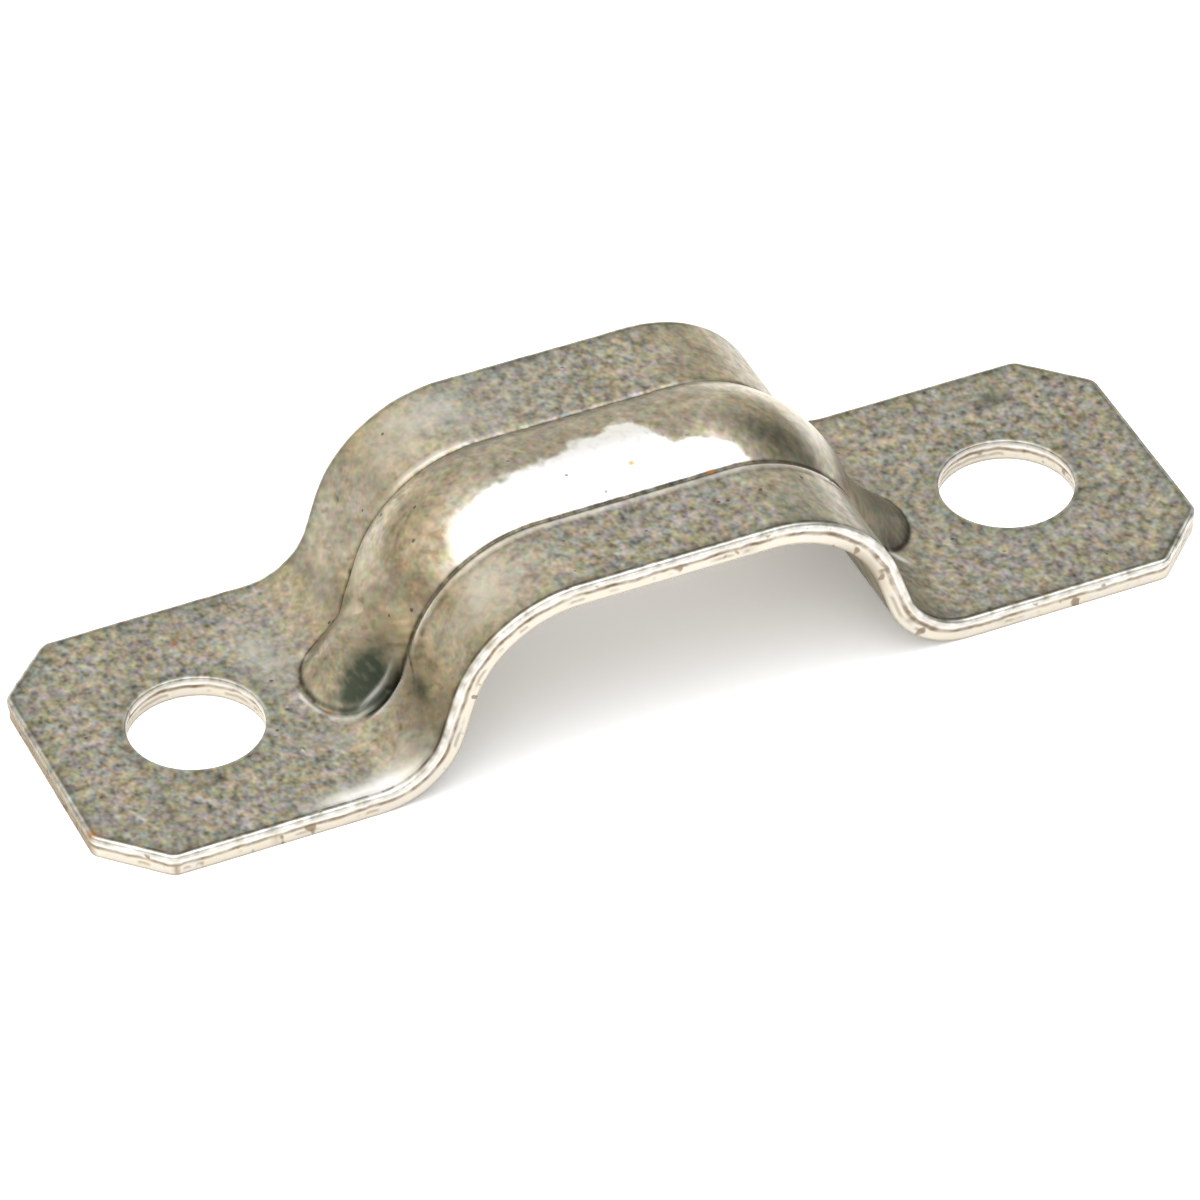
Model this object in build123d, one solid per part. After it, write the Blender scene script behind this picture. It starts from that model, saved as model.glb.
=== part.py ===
from math import acos, atan2, cos, hypot, radians, sin, sqrt, tan
import os

from build123d import *

# Two-hole strap that holds a flat cable to a wall: one strip of zinc-coated sheet steel, pressed into
# a saddle between two flat feet. A stiffening rib runs over the saddle and ends in a gusset on each foot.
# Lengths are in mm. X runs along the strip, Y across it, Z away from the wall. The feet lie on Z = 0.

# Blank
sheet = 1.1               # thickness of the steel
strap_width = 16.0
corner_cut = 2.8          # each corner of the strip is cut off by this much along both edges
corner_round = 0.8        # radius where a corner cut meets an edge
edge_roll = 0.15          # the blanking tool rounds the upper edge of every cut by this radius

# Saddle, measured on its upper side
saddle_height = 9.55      # wall to the flat top
saddle_span = 24.0        # between the lines where the flanks would meet the feet
flank_angle = 72.0        # slope of the flanks in degrees
foot_bend = 3.2           # upper-side radius between foot and flank
shoulder_bend = 6.5       # upper-side radius between flank and top

# Stiffening rib along the middle of the saddle
rib_width = 6.3
rib_height = 0.75
gusset_run = 0.275        # how far the gusset runs out on the flat foot, past the bend
gusset_radius = 3.75      # round section of the gusset that carries the rib across the bend
gusset_step = 0.05        # the gusset's crest starts this much under the rib's crest
crease_round = 0.5        # upper-side radius of the creases where rib and flat sheet meet
groove_round = 0.75       # underside radius of the same creases

# Screw holes, one in each foot
hole_diameter = 6.2
hole_clearance = 2.1      # flat metal between gusset and hole
hole_margin = 3.9         # flat metal between hole and end

# Shapes that follow from the sizes above
flank = radians(flank_angle)
foot_corner = saddle_span / 2
shoulder_corner = foot_corner - (saddle_height - sheet) / tan(flank)
shoulder_centre_x = shoulder_corner - shoulder_bend * tan(flank / 2)
shoulder_centre_z = saddle_height - shoulder_bend
rib_radius = ((rib_width / 2) ** 2 + rib_height ** 2) / (2 * rib_height)
rib_centre_z = saddle_height + rib_height - rib_radius
ceiling = saddle_height + 2 * rib_height
gusset_reach = foot_corner + foot_bend * tan(flank / 2) + gusset_run
hole_centre = gusset_reach + hole_clearance + hole_diameter / 2
strap_end = hole_centre + hole_diameter / 2 + hole_margin


def saddle_line(depth):
    """Side view of the strap at a depth below its upper surface, from end to end."""
    shift = depth * tan(flank / 2)
    shoulder = (shoulder_corner - shift, saddle_height - depth)
    foot = (foot_corner - shift, sheet - depth)
    end = (strap_end, sheet - depth)
    right = [shoulder, foot, end]
    left = [(-x, z) for x, z in reversed(right)]
    bends = [foot_bend + depth, shoulder_bend - depth, shoulder_bend - depth, foot_bend + depth]
    return FilletPolyline(*left, *right, radius=bends)


def full_width(upper, lower):
    """Solid as wide as the strap between two side-view lines that run from end to end."""
    ends = [Line(upper @ 0, lower @ 0), Line(upper @ 1, lower @ 1)]
    outline = Wire([*upper.edges(), *lower.edges(), *ends[0].edges(), *ends[1].edges()])
    return extrude(Plane.XZ * make_face(outline), amount=strap_width / 2, both=True)


def sharp_edges(body):
    """Edges of a solid where its two faces meet at an angle instead of running on smoothly."""
    edges_of = [(face, face.edges()) for face in body.faces()]
    found = []
    for edge in body.edges():
        middle = edge @ 0.5
        sides = [face.normal_at(middle) for face, edges in edges_of if edge in edges]
        if len(sides) == 2 and sides[0].get_angle(sides[1]) > 2:
            found.append(edge)
    return found


def blank_block():
    """Blank seen from above, with its cut corners, as a tall block."""
    blank = chamfer(Rectangle(2 * strap_end, strap_width).vertices(), corner_cut)
    return extrude(fillet(blank.vertices(), corner_round), amount=ceiling)


def bent_strip():
    """The sheet with its four bends and cut corners, its upper edges rolled by the blanking."""
    strip = full_width(saddle_line(0), saddle_line(sheet)) & blank_block()
    upper_side = saddle_line(0)
    middles = [(edge, edge @ 0.5) for edge in sharp_edges(strip)]
    upper = [edge for edge, at in middles if upper_side.distance_to(Vector(at.X, at.Z)) < sheet / 4]
    return fillet(upper, edge_roll)


def hole_punches():
    """Round punches for both screw holes, flared where they break the upper edge."""
    wall = hole_diameter / 2
    flare = wall + edge_roll
    straight = [(0, 0), (wall, 0), (wall, sheet - edge_roll)]
    wide = [(flare, sheet), (flare, ceiling), (0, ceiling)]
    side = Polyline(*straight, *wide, close=True)
    return GridLocations(2 * hole_centre, 0, 2, 1) * revolve(Plane.XZ * make_face(side), Axis.Z)


def rib_bar(radius, floor):
    """Bar with a round back that follows the top and both flanks straight into the feet."""
    half = sqrt(radius ** 2 - (floor - rib_centre_z) ** 2)
    back = ThreePointArc((-half, floor), (0, rib_centre_z + radius), (half, floor))
    section = Plane.YZ * make_face([*back.edges(), *Line(back @ 0, back @ 1).edges()])
    start = (0, saddle_height)
    shoulder = (shoulder_corner, saddle_height)
    below_foot = (foot_corner + sheet / tan(flank), 0)
    line = Plane.XZ * FilletPolyline(start, shoulder, below_foot, radius=[shoulder_bend])
    side = sweep(section, path=line)
    return side + mirror(side, about=Plane.YZ)


def gusset_bar(radius):
    """Round bar on both sides, its crest tangent to the shoulder of the rib and down to the reach."""
    crest_radius = shoulder_bend + rib_height - gusset_step
    run = gusset_reach - shoulder_centre_x
    rise = sheet - shoulder_centre_z
    across = hypot(run, rise)
    tilt = atan2(rise, run) + acos(crest_radius / across)
    length = sqrt(across ** 2 - crest_radius ** 2)
    down = (sin(tilt), -cos(tilt))
    foot_x = gusset_reach - gusset_radius * cos(tilt) + gusset_radius * down[0]
    foot_z = sheet - gusset_radius * sin(tilt) + gusset_radius * down[1]
    axis = Plane(origin=(foot_x, 0, foot_z), z_dir=(-down[0], 0, -down[1]))
    side = extrude(axis * Circle(radius), amount=length + gusset_radius)
    return side + mirror(side, about=Plane.YZ)


def raised_rib():
    """The rib and its gussets as they stand on the upper side of the sheet."""
    room_above = full_width(Line((-strap_end, ceiling), (strap_end, ceiling)), saddle_line(sheet / 2))
    return (rib_bar(rib_radius, saddle_height - sheet / 2) + gusset_bar(gusset_radius)) & room_above


def rib_groove():
    """The same form one sheet thickness further in, which the press leaves open on the underside."""
    return rib_bar(rib_radius - sheet, saddle_height - 1.5 * sheet) + gusset_bar(gusset_radius - sheet)


def round_creases(body, half_width, radius):
    """Round every sharp edge that stays within a distance of the strap's middle plane."""
    creases = []
    for edge in sharp_edges(body):
        if max(edge.bounding_box().max.Y, -edge.bounding_box().min.Y) < half_width:
            creases.append(edge)
    return fillet(creases, radius)


def strap():
    """The finished strap."""
    body = round_creases(bent_strip() + raised_rib(), rib_width / 2 + sheet, crease_round)
    body = round_creases(body - rib_groove(), rib_width / 2 - sheet / 10, groove_round)
    return body - hole_punches()


os.makedirs("parts", exist_ok=True)
part = strap()
part.label = "strap"
export_step(part, "parts/strap.step")
print("strap", part.is_valid, len(part.solids()), round(part.volume, 2))
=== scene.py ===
import math

import bmesh
import bpy
import numpy as np
from mathutils import Matrix, Vector


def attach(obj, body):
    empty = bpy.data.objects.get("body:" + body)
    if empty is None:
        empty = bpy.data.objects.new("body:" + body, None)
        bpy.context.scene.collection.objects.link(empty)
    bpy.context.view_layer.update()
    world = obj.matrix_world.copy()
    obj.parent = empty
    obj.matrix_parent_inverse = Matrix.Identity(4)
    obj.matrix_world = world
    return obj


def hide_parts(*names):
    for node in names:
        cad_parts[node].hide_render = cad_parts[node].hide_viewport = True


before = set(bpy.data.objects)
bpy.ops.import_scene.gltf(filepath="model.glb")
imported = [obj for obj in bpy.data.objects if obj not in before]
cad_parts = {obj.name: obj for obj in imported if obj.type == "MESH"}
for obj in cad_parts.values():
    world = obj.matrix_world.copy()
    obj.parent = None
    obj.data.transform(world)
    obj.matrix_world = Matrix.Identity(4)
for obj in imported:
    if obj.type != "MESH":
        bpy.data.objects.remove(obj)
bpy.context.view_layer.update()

mm = 0.001

# the pressed strip, in mm, as a press shop would state it
strapShape = {
    "sheet": 1.1,
    "width": 16.0,
    "cornerCut": 2.8,
    "cornerRound": 0.8,
    "saddleHeight": 9.55,
    "saddleSpan": 24.0,
    "flankAngle": 72.0,
    "footBend": 3.2,
    "shoulderBend": 6.5,
    "ribWidth": 6.3,
    "ribHeight": 0.75,
    "gussetRun": 0.275,
    "gussetRadius": 3.75,
    "gussetStep": 0.05,
    "gussetHollow": 0.5,            # how far the middle of its ridge sags below a straight line
    "holeDiameter": 6.2,
    "holeClearance": 2.1,
    "holeMargin": 3.9,
}


def pressedSizes(shape):
    # sizes that follow from the stated ones: where each bend starts along the strip, and the gusset's axis
    size = dict(shape)
    turn = math.radians(shape["flankAngle"])
    half = math.tan(turn / 2)
    size["turn"] = turn
    size["crownEnd"] = (shape["saddleSpan"] / 2 - (shape["saddleHeight"] - shape["sheet"]) / math.tan(turn)
                        - shape["shoulderBend"] * half)
    size["flankStart"] = size["crownEnd"] + shape["shoulderBend"] * turn
    flankLength = ((shape["saddleHeight"] - shape["sheet"]) / math.sin(turn)
                   - (shape["shoulderBend"] + shape["footBend"]) * half)
    size["flankEnd"] = size["flankStart"] + flankLength
    size["footStart"] = size["flankEnd"] + shape["footBend"] * turn
    size["bendX"] = shape["saddleSpan"] / 2 + shape["footBend"] * half
    size["gussetReach"] = size["bendX"] + shape["gussetRun"]
    size["holeX"] = size["gussetReach"] + shape["holeClearance"] + shape["holeDiameter"] / 2
    size["endX"] = size["holeX"] + shape["holeDiameter"] / 2 + shape["holeMargin"]
    size["flatShift"] = size["footStart"] - size["bendX"]       # distance along the strip minus X, on a foot
    size["ribRadius"] = ((shape["ribWidth"] / 2) ** 2 + shape["ribHeight"] ** 2) / (2 * shape["ribHeight"])
    centreZ = shape["saddleHeight"] - shape["shoulderBend"]
    crestRadius = shape["shoulderBend"] + shape["ribHeight"] - shape["gussetStep"]
    run, rise = size["gussetReach"] - size["crownEnd"], shape["sheet"] - centreZ
    size["tilt"] = math.atan2(rise, run) + math.acos(crestRadius / math.hypot(run, rise))
    size["gussetLength"] = math.sqrt(run ** 2 + rise ** 2 - crestRadius ** 2)
    return size


size = pressedSizes(strapShape)


def sideLine(along):
    # side view of the upper surface by distance along it: flat crown, shoulder arc, straight flank, foot bend
    # and flat foot; gives x and z, then the normal's x and z
    s, side = np.abs(along), np.where(along < 0, -1.0, 1.0)
    sheet, high = size["sheet"], size["saddleHeight"]
    shoulder, foot, turn = size["shoulderBend"], size["footBend"], size["turn"]
    phi = np.clip((s - size["crownEnd"]) / shoulder, 0, turn)
    phi = np.where(s > size["flankEnd"], turn - np.clip((s - size["flankEnd"]) / foot, 0, turn), phi)
    straight = np.clip(s - size["flankStart"], 0, size["flankEnd"] - size["flankStart"])
    x = np.minimum(s, size["crownEnd"]) + shoulder * np.sin(phi)
    z = high - shoulder + shoulder * np.cos(phi)
    x, z = x + straight * math.cos(turn), z - straight * math.sin(turn)
    low = s > size["flankEnd"]
    x = np.where(low, size["bendX"] - foot * np.sin(phi) + np.maximum(s - size["footStart"], 0), x)
    z = np.where(low, sheet + foot - foot * np.cos(phi), z)
    return x * side, z, np.sin(phi) * side, np.cos(phi)


ribForm = {
    "sideSlope": 3.0,           # past its half width, the side of the gusset's bar falls this steeply
    "hollowPower": 1.5,         # how sharply the hollow of the ridge begins and ends
    "topRun": 0.3,              # past this point the ridge drops by topDrop times the square of the way
    "topDrop": 0.14,
    "leastSquare": 0.01,        # these three keep roots and divisions finite beside the bars
    "leastFacing": 0.1,
    "hollowFacing": 0.3,
    "noGusset": -9.0,           # height that keeps the gusset out of the flat crown
}


def ribAndGusset(along, across, cut):
    # heights of the rib's round back and of the gusset's round bar over the sheet: over its upper surface
    # with cut = 0, over its lower one with cut = the thickness
    s, y = np.abs(along), np.abs(across)
    x, z, nx, nz = sideLine(s)
    x, z = x - cut * nx, z - cut * nz
    radius = size["ribRadius"] - cut
    cap = np.sqrt(np.maximum(radius ** 2 - y ** 2, ribForm["leastSquare"])) - (radius - size["ribHeight"])
    fx, fz, fnx, fnz = sideLine(np.array(size["flankEnd"]))
    away = (x - fx + cut * fnx) * fnx + (z - fz + cut * fnz) * fnz
    lowCap = (cap - away) / np.maximum(nx * fnx + nz * fnz, ribForm["leastFacing"])
    rib = np.where(s > size["flankEnd"], lowCap, cap)
    mx, mz = math.cos(size["tilt"]), math.sin(size["tilt"])
    ax, az = size["gussetReach"] - size["gussetRadius"] * mx, size["sheet"] - size["gussetRadius"] * mz
    bar, facing = size["gussetRadius"] - cut, nx * mx + nz * mz
    back = np.sqrt(np.maximum(bar ** 2 - y ** 2, ribForm["leastSquare"]))
    back = back - ribForm["sideSlope"] * np.maximum(y - bar, 0)
    gusset = (back - (x - ax) * mx - (z - az) * mz) / np.maximum(facing, ribForm["leastFacing"])
    reach = (x + gusset * nx - ax) * -mz + (z + gusset * nz - az) * mx
    bow = np.sin(np.pi * np.clip(reach / size["gussetLength"], 0, 1)) ** ribForm["hollowPower"]
    gusset = gusset - size["gussetHollow"] * bow / np.maximum(facing, ribForm["hollowFacing"])
    gusset = gusset - ribForm["topDrop"] * np.maximum(reach - size["gussetLength"] + ribForm["topRun"], 0) ** 2
    return rib, np.where(s < size["crownEnd"], ribForm["noGusset"], gusset)


def softMax(a, b, width):
    # the larger of two heights, rounded where they are nearly equal
    return np.maximum(a, b) + np.maximum(width - np.abs(a - b), 0) ** 2 / (4 * width)


def ease(value, low, high):
    # 0 up to low, 1 from high on, and the smooth step t t (3 - 2 t) between them
    t = np.clip((value - low) / (high - low), 0, 1)
    return t * t * (3 - 2 * t)


def bell(value, middle, width, power=2):
    # soft band: exp of minus the power of the distance from the middle, counted in widths
    return np.exp(-((value - middle) / width) ** power)


def latticeNoise(u, v, cell, seed):
    # smooth noise from -1 to 1: seeded values on a square lattice, eased between neighbours
    count, origin = 256, 100        # lattice points each way, and the one that lies at 0
    table = np.random.default_rng(seed).uniform(-1, 1, (count, count))
    u, v = u / cell + origin, v / cell + origin
    i, j = np.floor(u).astype(int), np.floor(v).astype(int)
    fu, fv = u - i, v - j
    fu, fv = fu * fu * (3 - 2 * fu), fv * fv * (3 - 2 * fv)
    a, b = table[i % count, j % count], table[(i + 1) % count, j % count]
    c, d = table[i % count, (j + 1) % count], table[(i + 1) % count, (j + 1) % count]
    return (a * (1 - fu) + b * fu) * (1 - fv) + (c * (1 - fu) + d * fu) * fv


pressMarks = {
    "creaseRound": 0.06,        # height over which rib and flat melt together
    "gussetRound": 0.32,        # the same at the gusset's foot, and at its top
    "gussetTopRound": 0.04,
    "roundFrom": 0.3,           # the change from top to foot starts this far before the foot bend
    "roundRun": 1.8,
    "grooveRounder": 1.5,
    "dipDepth": 0.05,           # the sheet is drawn down close to the rib
    "dipWidth": 0.07,
    "dipOffset": 0.05,
    "lipHeight": 0.030,         # and stands up a little just outside that, most on the side of -Y
    "lipWidth": 0.10,
    "lipOffset": 0.30,
    "lipMiddle": 0.6,
    "lipPerMm": 0.13,
    "lipLeast": 0.3,
    "lipFade": (12.5, 14.0),    # it loses most of its height along the right gusset
    "lipLost": 0.75,
    "probe": 0.01,              # step that measures the slope of rib and gusset
    "leastSlope": 0.2,
    "waviness": 0.009,
    "waveLength": 2.2,
    "waveSeed": 5,
}

# a short sharp fold beside the left gusset, with a lip on both sides
sheetFold = {
    "along": -15.75,
    "halfLength": 1.35,
    "across": -3.0,             # at slantFrom; it drifts by slant for each mm along
    "slant": 0.03,
    "slantFrom": -15.5,
    "depth": 0.22,
    "width": 0.17,
    "lipHeight": 0.06,
    "lipOffset": 0.42,
    "lipWidth": 0.11,
}


def foldLine(along, across, width):
    # 1 on the fold, fading with the square of the way across it and the fourth power of the way along
    middle = sheetFold["across"] - sheetFold["slant"] * (along - sheetFold["slantFrom"])
    ends = ((along - sheetFold["along"]) / sheetFold["halfLength"]) ** 4
    return np.exp(-((across - middle) / width) ** 2 - ends)


def foldLips(along, across, width):
    # the same line twice, once on each side of the fold
    offset = sheetFold["lipOffset"]
    return foldLine(along, across - offset, width) + foldLine(along, across + offset, width)


def sheetHeight(along, across, cut):
    # the largest of flat sheet, rib and gusset, rounded where they meet, less dip and fold, plus their lips;
    # also the distance from the crease, as height over slope, which is negative outside the rib
    marks, fold = pressMarks, sheetFold
    rib, gusset = ribAndGusset(along, across, cut)
    low = np.clip((np.abs(along) - size["flankEnd"] + marks["roundFrom"]) / marks["roundRun"], 0, 1)
    gussetRound = marks["gussetTopRound"] + low * (marks["gussetRound"] - marks["gussetTopRound"])
    soft = 1.0 if cut == 0 else marks["grooveRounder"]
    height = softMax(np.zeros_like(rib), rib, marks["creaseRound"] * soft)
    height = softMax(height, gusset, gussetRound * soft)
    raised, probe = np.maximum(rib, gusset), marks["probe"]
    ds = (np.maximum(*ribAndGusset(along + probe, across, cut)) - raised) / probe
    dy = (np.maximum(*ribAndGusset(along, across + probe, cut)) - raised) / probe
    away = raised / np.maximum(np.hypot(ds, dy), marks["leastSlope"])
    if cut == 0:
        dip = bell(away, -marks["dipOffset"], marks["dipWidth"])
        lip = bell(away, -marks["lipOffset"], marks["lipWidth"])
        lip = lip * np.clip(marks["lipMiddle"] - marks["lipPerMm"] * across, marks["lipLeast"], 1)
        lip = lip * (1 - marks["lipLost"] * ease(along, *marks["lipFade"]))
        height = height - marks["dipDepth"] * dip + marks["lipHeight"] * lip
        height = height - fold["depth"] * foldLine(along, across, fold["width"])
        height = height + fold["lipHeight"] * foldLips(along, across, fold["lipWidth"])
    return height, away


def sheetPoint(along, across, depth):
    # a point of the pressed sheet: side line, plus rib height less depth and waviness along its normal; the
    # height goes over from the upper surface's to the lower one's with depth
    x, z, nx, nz = sideLine(along)
    above, away = sheetHeight(along, across, 0)
    below, _ = sheetHeight(along, across, size["sheet"])
    part = depth / size["sheet"]
    wave = 1 + latticeNoise(along, across, pressMarks["waveLength"], pressMarks["waveSeed"])
    wave = pressMarks["waviness"] * wave
    rise = above * (1 - part) + below * part - depth - wave * (1 - part)
    return np.stack([x + rise * nx, across, z + rise * nz], -1), away


edgeCut = {
    "inset": 0.34,              # where the wall's profile leaves the flat faces
    "roll": 0.15,               # depth of the rounded upper edge
    "holeRoll": 0.07,
    "rollWidth": 0.9,           # its width as a share of its depth
    "rollTurns": [18, 36, 54, 72, 90],      # degrees round it
    "land": 0.42,               # end of the smooth sheared land
    "lean": 0.05,               # how far the torn lower part stands back
    "tear": 0.014,              # unevenness of the torn part, with its noise's cell and seed
    "tearNoise": (0.3, 13),
    "tearDrift": 7,             # how fast that noise changes with depth
    "waver": [(0.05, 1.1, 11), (0.025, 0.4, 12)],       # of the land's lower border: height, cell, seed
}


def wallProfile(roll):
    # across the cut edge, from the upper face to the lower: pairs of (outward from the outline, depth)
    inset, land, lean, sheet = edgeCut["inset"], edgeCut["land"], edgeCut["lean"], size["sheet"]
    turn = np.radians(np.array(edgeCut["rollTurns"]))
    rolled = zip(-roll * edgeCut["rollWidth"] * (1 - np.sin(turn)), roll * (1 - np.cos(turn)))
    return [(-inset, 0.0), (-0.27, 0.001), (-0.20, 0.002), *rolled, (0.0, 0.30),
            (0.0, land), (-lean * 0.6, land + 0.05), (-lean * 0.9, 0.66), (-lean, 0.86),
            (-lean, sheet - 0.05), (-lean - 0.03, sheet), (-0.18, sheet), (-inset, sheet)]


def steps(stops):
    # values from stop to stop, with a stated number of even steps in each stretch
    parts = [np.linspace(a, b, n, endpoint=False) for (a, n), (b, _) in zip(stops[:-1], stops[1:])]
    return np.append(np.concatenate(parts), stops[-1][0])


meshDetail = {
    "crown": 30, "shoulder": 48, "gusset": 96, "flat": 7,      # steps along, from the middle to the patch edge
    "ribAcross": 46, "besideRib": 16,                          # steps across, from the middle to the edge
    "footEdges": [26, 12, 32, 12, 26],                         # on long edge, cut corner, end and back again
    "cornerRound": 5,
    "footRings": 26,
    "gussetFrom": 0.6,          # the gusset's steps start this far before the flank
    "gussetPast": 0.3,          # and end this far past the gusset
    "edgePast": 0.85,           # the patch edge lies this far past it, between gusset and hole
    "ribHalf": 3.5,             # the rib's steps across reach this far
    "mergeDigits": 5,           # points that agree to so many decimals are one
    "sharpFrom": 38,            # degrees between faces
}
patchEdge = size["gussetReach"] + meshDetail["edgePast"] + size["flatShift"]
halfAcross = size["width"] / 2 - edgeCut["inset"]


def middleLines():
    # grid lines of the saddle, close together where the gussets and creases are
    d = meshDetail
    right = steps([(0, d["crown"]), (size["crownEnd"], d["shoulder"]),
                   (size["flankStart"] - d["gussetFrom"], d["gusset"]),
                   (size["gussetReach"] + size["flatShift"] + d["gussetPast"], d["flat"]), (patchEdge, 0)])
    up = steps([(0, d["ribAcross"]), (d["ribHalf"], d["besideRib"]), (halfAcross, 0)])
    return np.concatenate([-right[:0:-1], right]), np.concatenate([-up[:0:-1], up])


def footOutline():
    # outline of the right foot from the middle grid's lower corner to its upper one, with its outward
    # directions: straight stretches joined by arcs of the corner radius
    end, half, cut, radius = size["endX"] + size["flatShift"], size["width"] / 2, size["cornerCut"], size["cornerRound"]
    stations = np.array([[patchEdge, -half], [end - cut, -half], [end, -half + cut],
                         [end, half - cut], [end - cut, half], [patchEdge, half]])
    ways = np.diff(stations, axis=0)
    ways = ways / np.linalg.norm(ways, axis=1)[:, None]
    turn = math.pi / 4
    tangent = radius * math.tan(turn / 2)
    lastWay = len(ways) - 1
    points, outs = [], []
    for i, way in enumerate(ways):
        first = stations[i] + way * (tangent if i > 0 else 0)
        last = stations[i + 1] - way * (tangent if i < lastWay else 0)
        out = np.array([way[1], -way[0]])
        t = np.linspace(0, 1, meshDetail["footEdges"][i] + 1)[:, None]
        points.append(first + (last - first) * t)
        outs.append(np.tile(out, (len(t), 1)))
        if i < lastWay:
            angle = math.atan2(out[1], out[0]) + turn * np.linspace(0, 1, meshDetail["cornerRound"] + 1)[1:-1]
            arc = np.stack([np.cos(angle), np.sin(angle)], -1)
            points.append(last - out * radius + radius * arc)
            outs.append(arc)
    return np.vstack(points), np.vstack(outs)


def ringFaces(rows):
    # quads between neighbours of a stack of closed rows of point numbers
    rows = np.column_stack([rows, rows[:, 0]])
    return np.stack([rows[:-1, :-1], rows[:-1, 1:], rows[1:, 1:], rows[1:, :-1]], -1).reshape(-1, 4)


def halvingFaces(full, half):
    # a closed row of points joined to one with half as many: a quad and a triangle for each pair
    a, b = np.append(full, full[0]), np.append(half, half[0])
    quads = np.stack([a[0:-1:2], a[1::2], b[1:], b[:-1]], -1)
    triangles = np.stack([a[1::2], a[2::2], b[1:]], -1)
    return quads, triangles


def wallRows(points, outs, roll):
    # the profile carried round an outline; the sheared land's lower border wavers and the torn part is uneven
    land, sheet = edgeCut["land"], size["sheet"]
    cell, seed = edgeCut["tearNoise"]
    rows = []
    for o, d in wallProfile(roll):
        along, across = (points + outs * o).T
        down, stand = d, o
        if land <= d < sheet:
            waver = sum(high * latticeNoise(along, across, *noise) for high, *noise in edgeCut["waver"])
            down = d + waver * (1 - (d - land) / sheet)
        if land < d < sheet:
            drift = edgeCut["tearDrift"] * d
            stand = o + edgeCut["tear"] * (latticeNoise(along, across + drift, cell, seed) - 1)
        place = points + outs * np.reshape(stand, (-1, 1))
        rows.append(np.column_stack([place, *(np.broadcast_to(value, len(points)) for value in (down, stand))]))
    return np.array(rows)


def strapPatches():
    # every surface of the strap on the flat pattern: columns are along, across, depth and distance outward
    # from the outline
    alongLines, acrossLines = middleLines()
    outline, outs = footOutline()
    inset, sheet = edgeCut["inset"], size["sheet"]
    patches = []

    def flatRows(places, depth):
        return np.column_stack([places, np.full(len(places), depth), np.full(len(places), -inset)])

    def grid(depth, stride):
        # the saddle's face at a depth, from the crossings of the grid lines
        a, c = np.meshgrid(alongLines[::stride], acrossLines[::stride], indexing="ij")
        number = np.arange(a.size).reshape(a.shape)
        faces = np.stack([number[:-1, :-1], number[1:, :-1], number[1:, 1:], number[:-1, 1:]], -1).reshape(-1, 4)
        patches.append((flatRows(np.column_stack([a.ravel(), c.ravel()]), depth), [faces]))

    def footRings(side, depth, stride):
        # rings from the screw hole's edge out to the foot's outline
        line = np.column_stack([np.full(len(acrossLines) - 2, patchEdge), acrossLines[-2:0:-1]])
        border = np.vstack([outline - outs * inset, line])[::stride]
        centre = np.array([size["holeX"] + size["flatShift"], 0.0])
        toward = border - centre
        toward = toward / np.linalg.norm(toward, axis=1)[:, None]
        hole = centre + toward * (size["holeDiameter"] / 2 + inset)
        t = np.linspace(0, 1, meshDetail["footRings"] // stride + 1)[:, None, None]
        rings = hole + (border - hole) * t
        number = np.arange(rings.shape[0] * rings.shape[1]).reshape(rings.shape[:2])
        patches.append((flatRows(rings.reshape(-1, 2) * [side, 1], depth), [ringFaces(number)]))
        return centre * [side, 1], toward * [side, 1]

    def wall(points, outward, roll):
        # the cut edge along an outline; its last row has half the points, as the lower faces do
        rows = wallRows(points, outward, roll)
        count = rows.shape[1]
        number = np.arange(rows.shape[0] * count).reshape(rows.shape[:2])
        half = number[-2].max() + 1 + np.arange(count // 2)
        flat = np.vstack([rows[:-1].reshape(-1, 4), rows[-1, ::2]])
        patches.append((flat, [ringFaces(number[:-1]), *halvingFaces(number[-2], half)]))

    for depth, stride in ((0.0, 1), (sheet, 2)):
        grid(depth, stride)
        for side in (1, -1):
            centre, toward = footRings(side, depth, stride)
            if depth == 0:
                wall(centre + toward * size["holeDiameter"] / 2, -toward, edgeCut["holeRoll"])
    inner = alongLines[1:-1]
    upper = np.column_stack([inner[::-1], np.full(len(inner), size["width"] / 2)])
    lower = np.column_stack([inner, np.full(len(inner), -size["width"] / 2)])
    loop = np.vstack([outline, upper, outline[::-1] * [-1, 1], lower])
    loopOuts = np.vstack([outs, np.tile([0.0, 1.0], (len(inner), 1)), outs[::-1] * [-1, 1],
                          np.tile([0.0, -1.0], (len(inner), 1))])
    wall(loop, loopOuts, edgeCut["roll"])
    return patches


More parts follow.
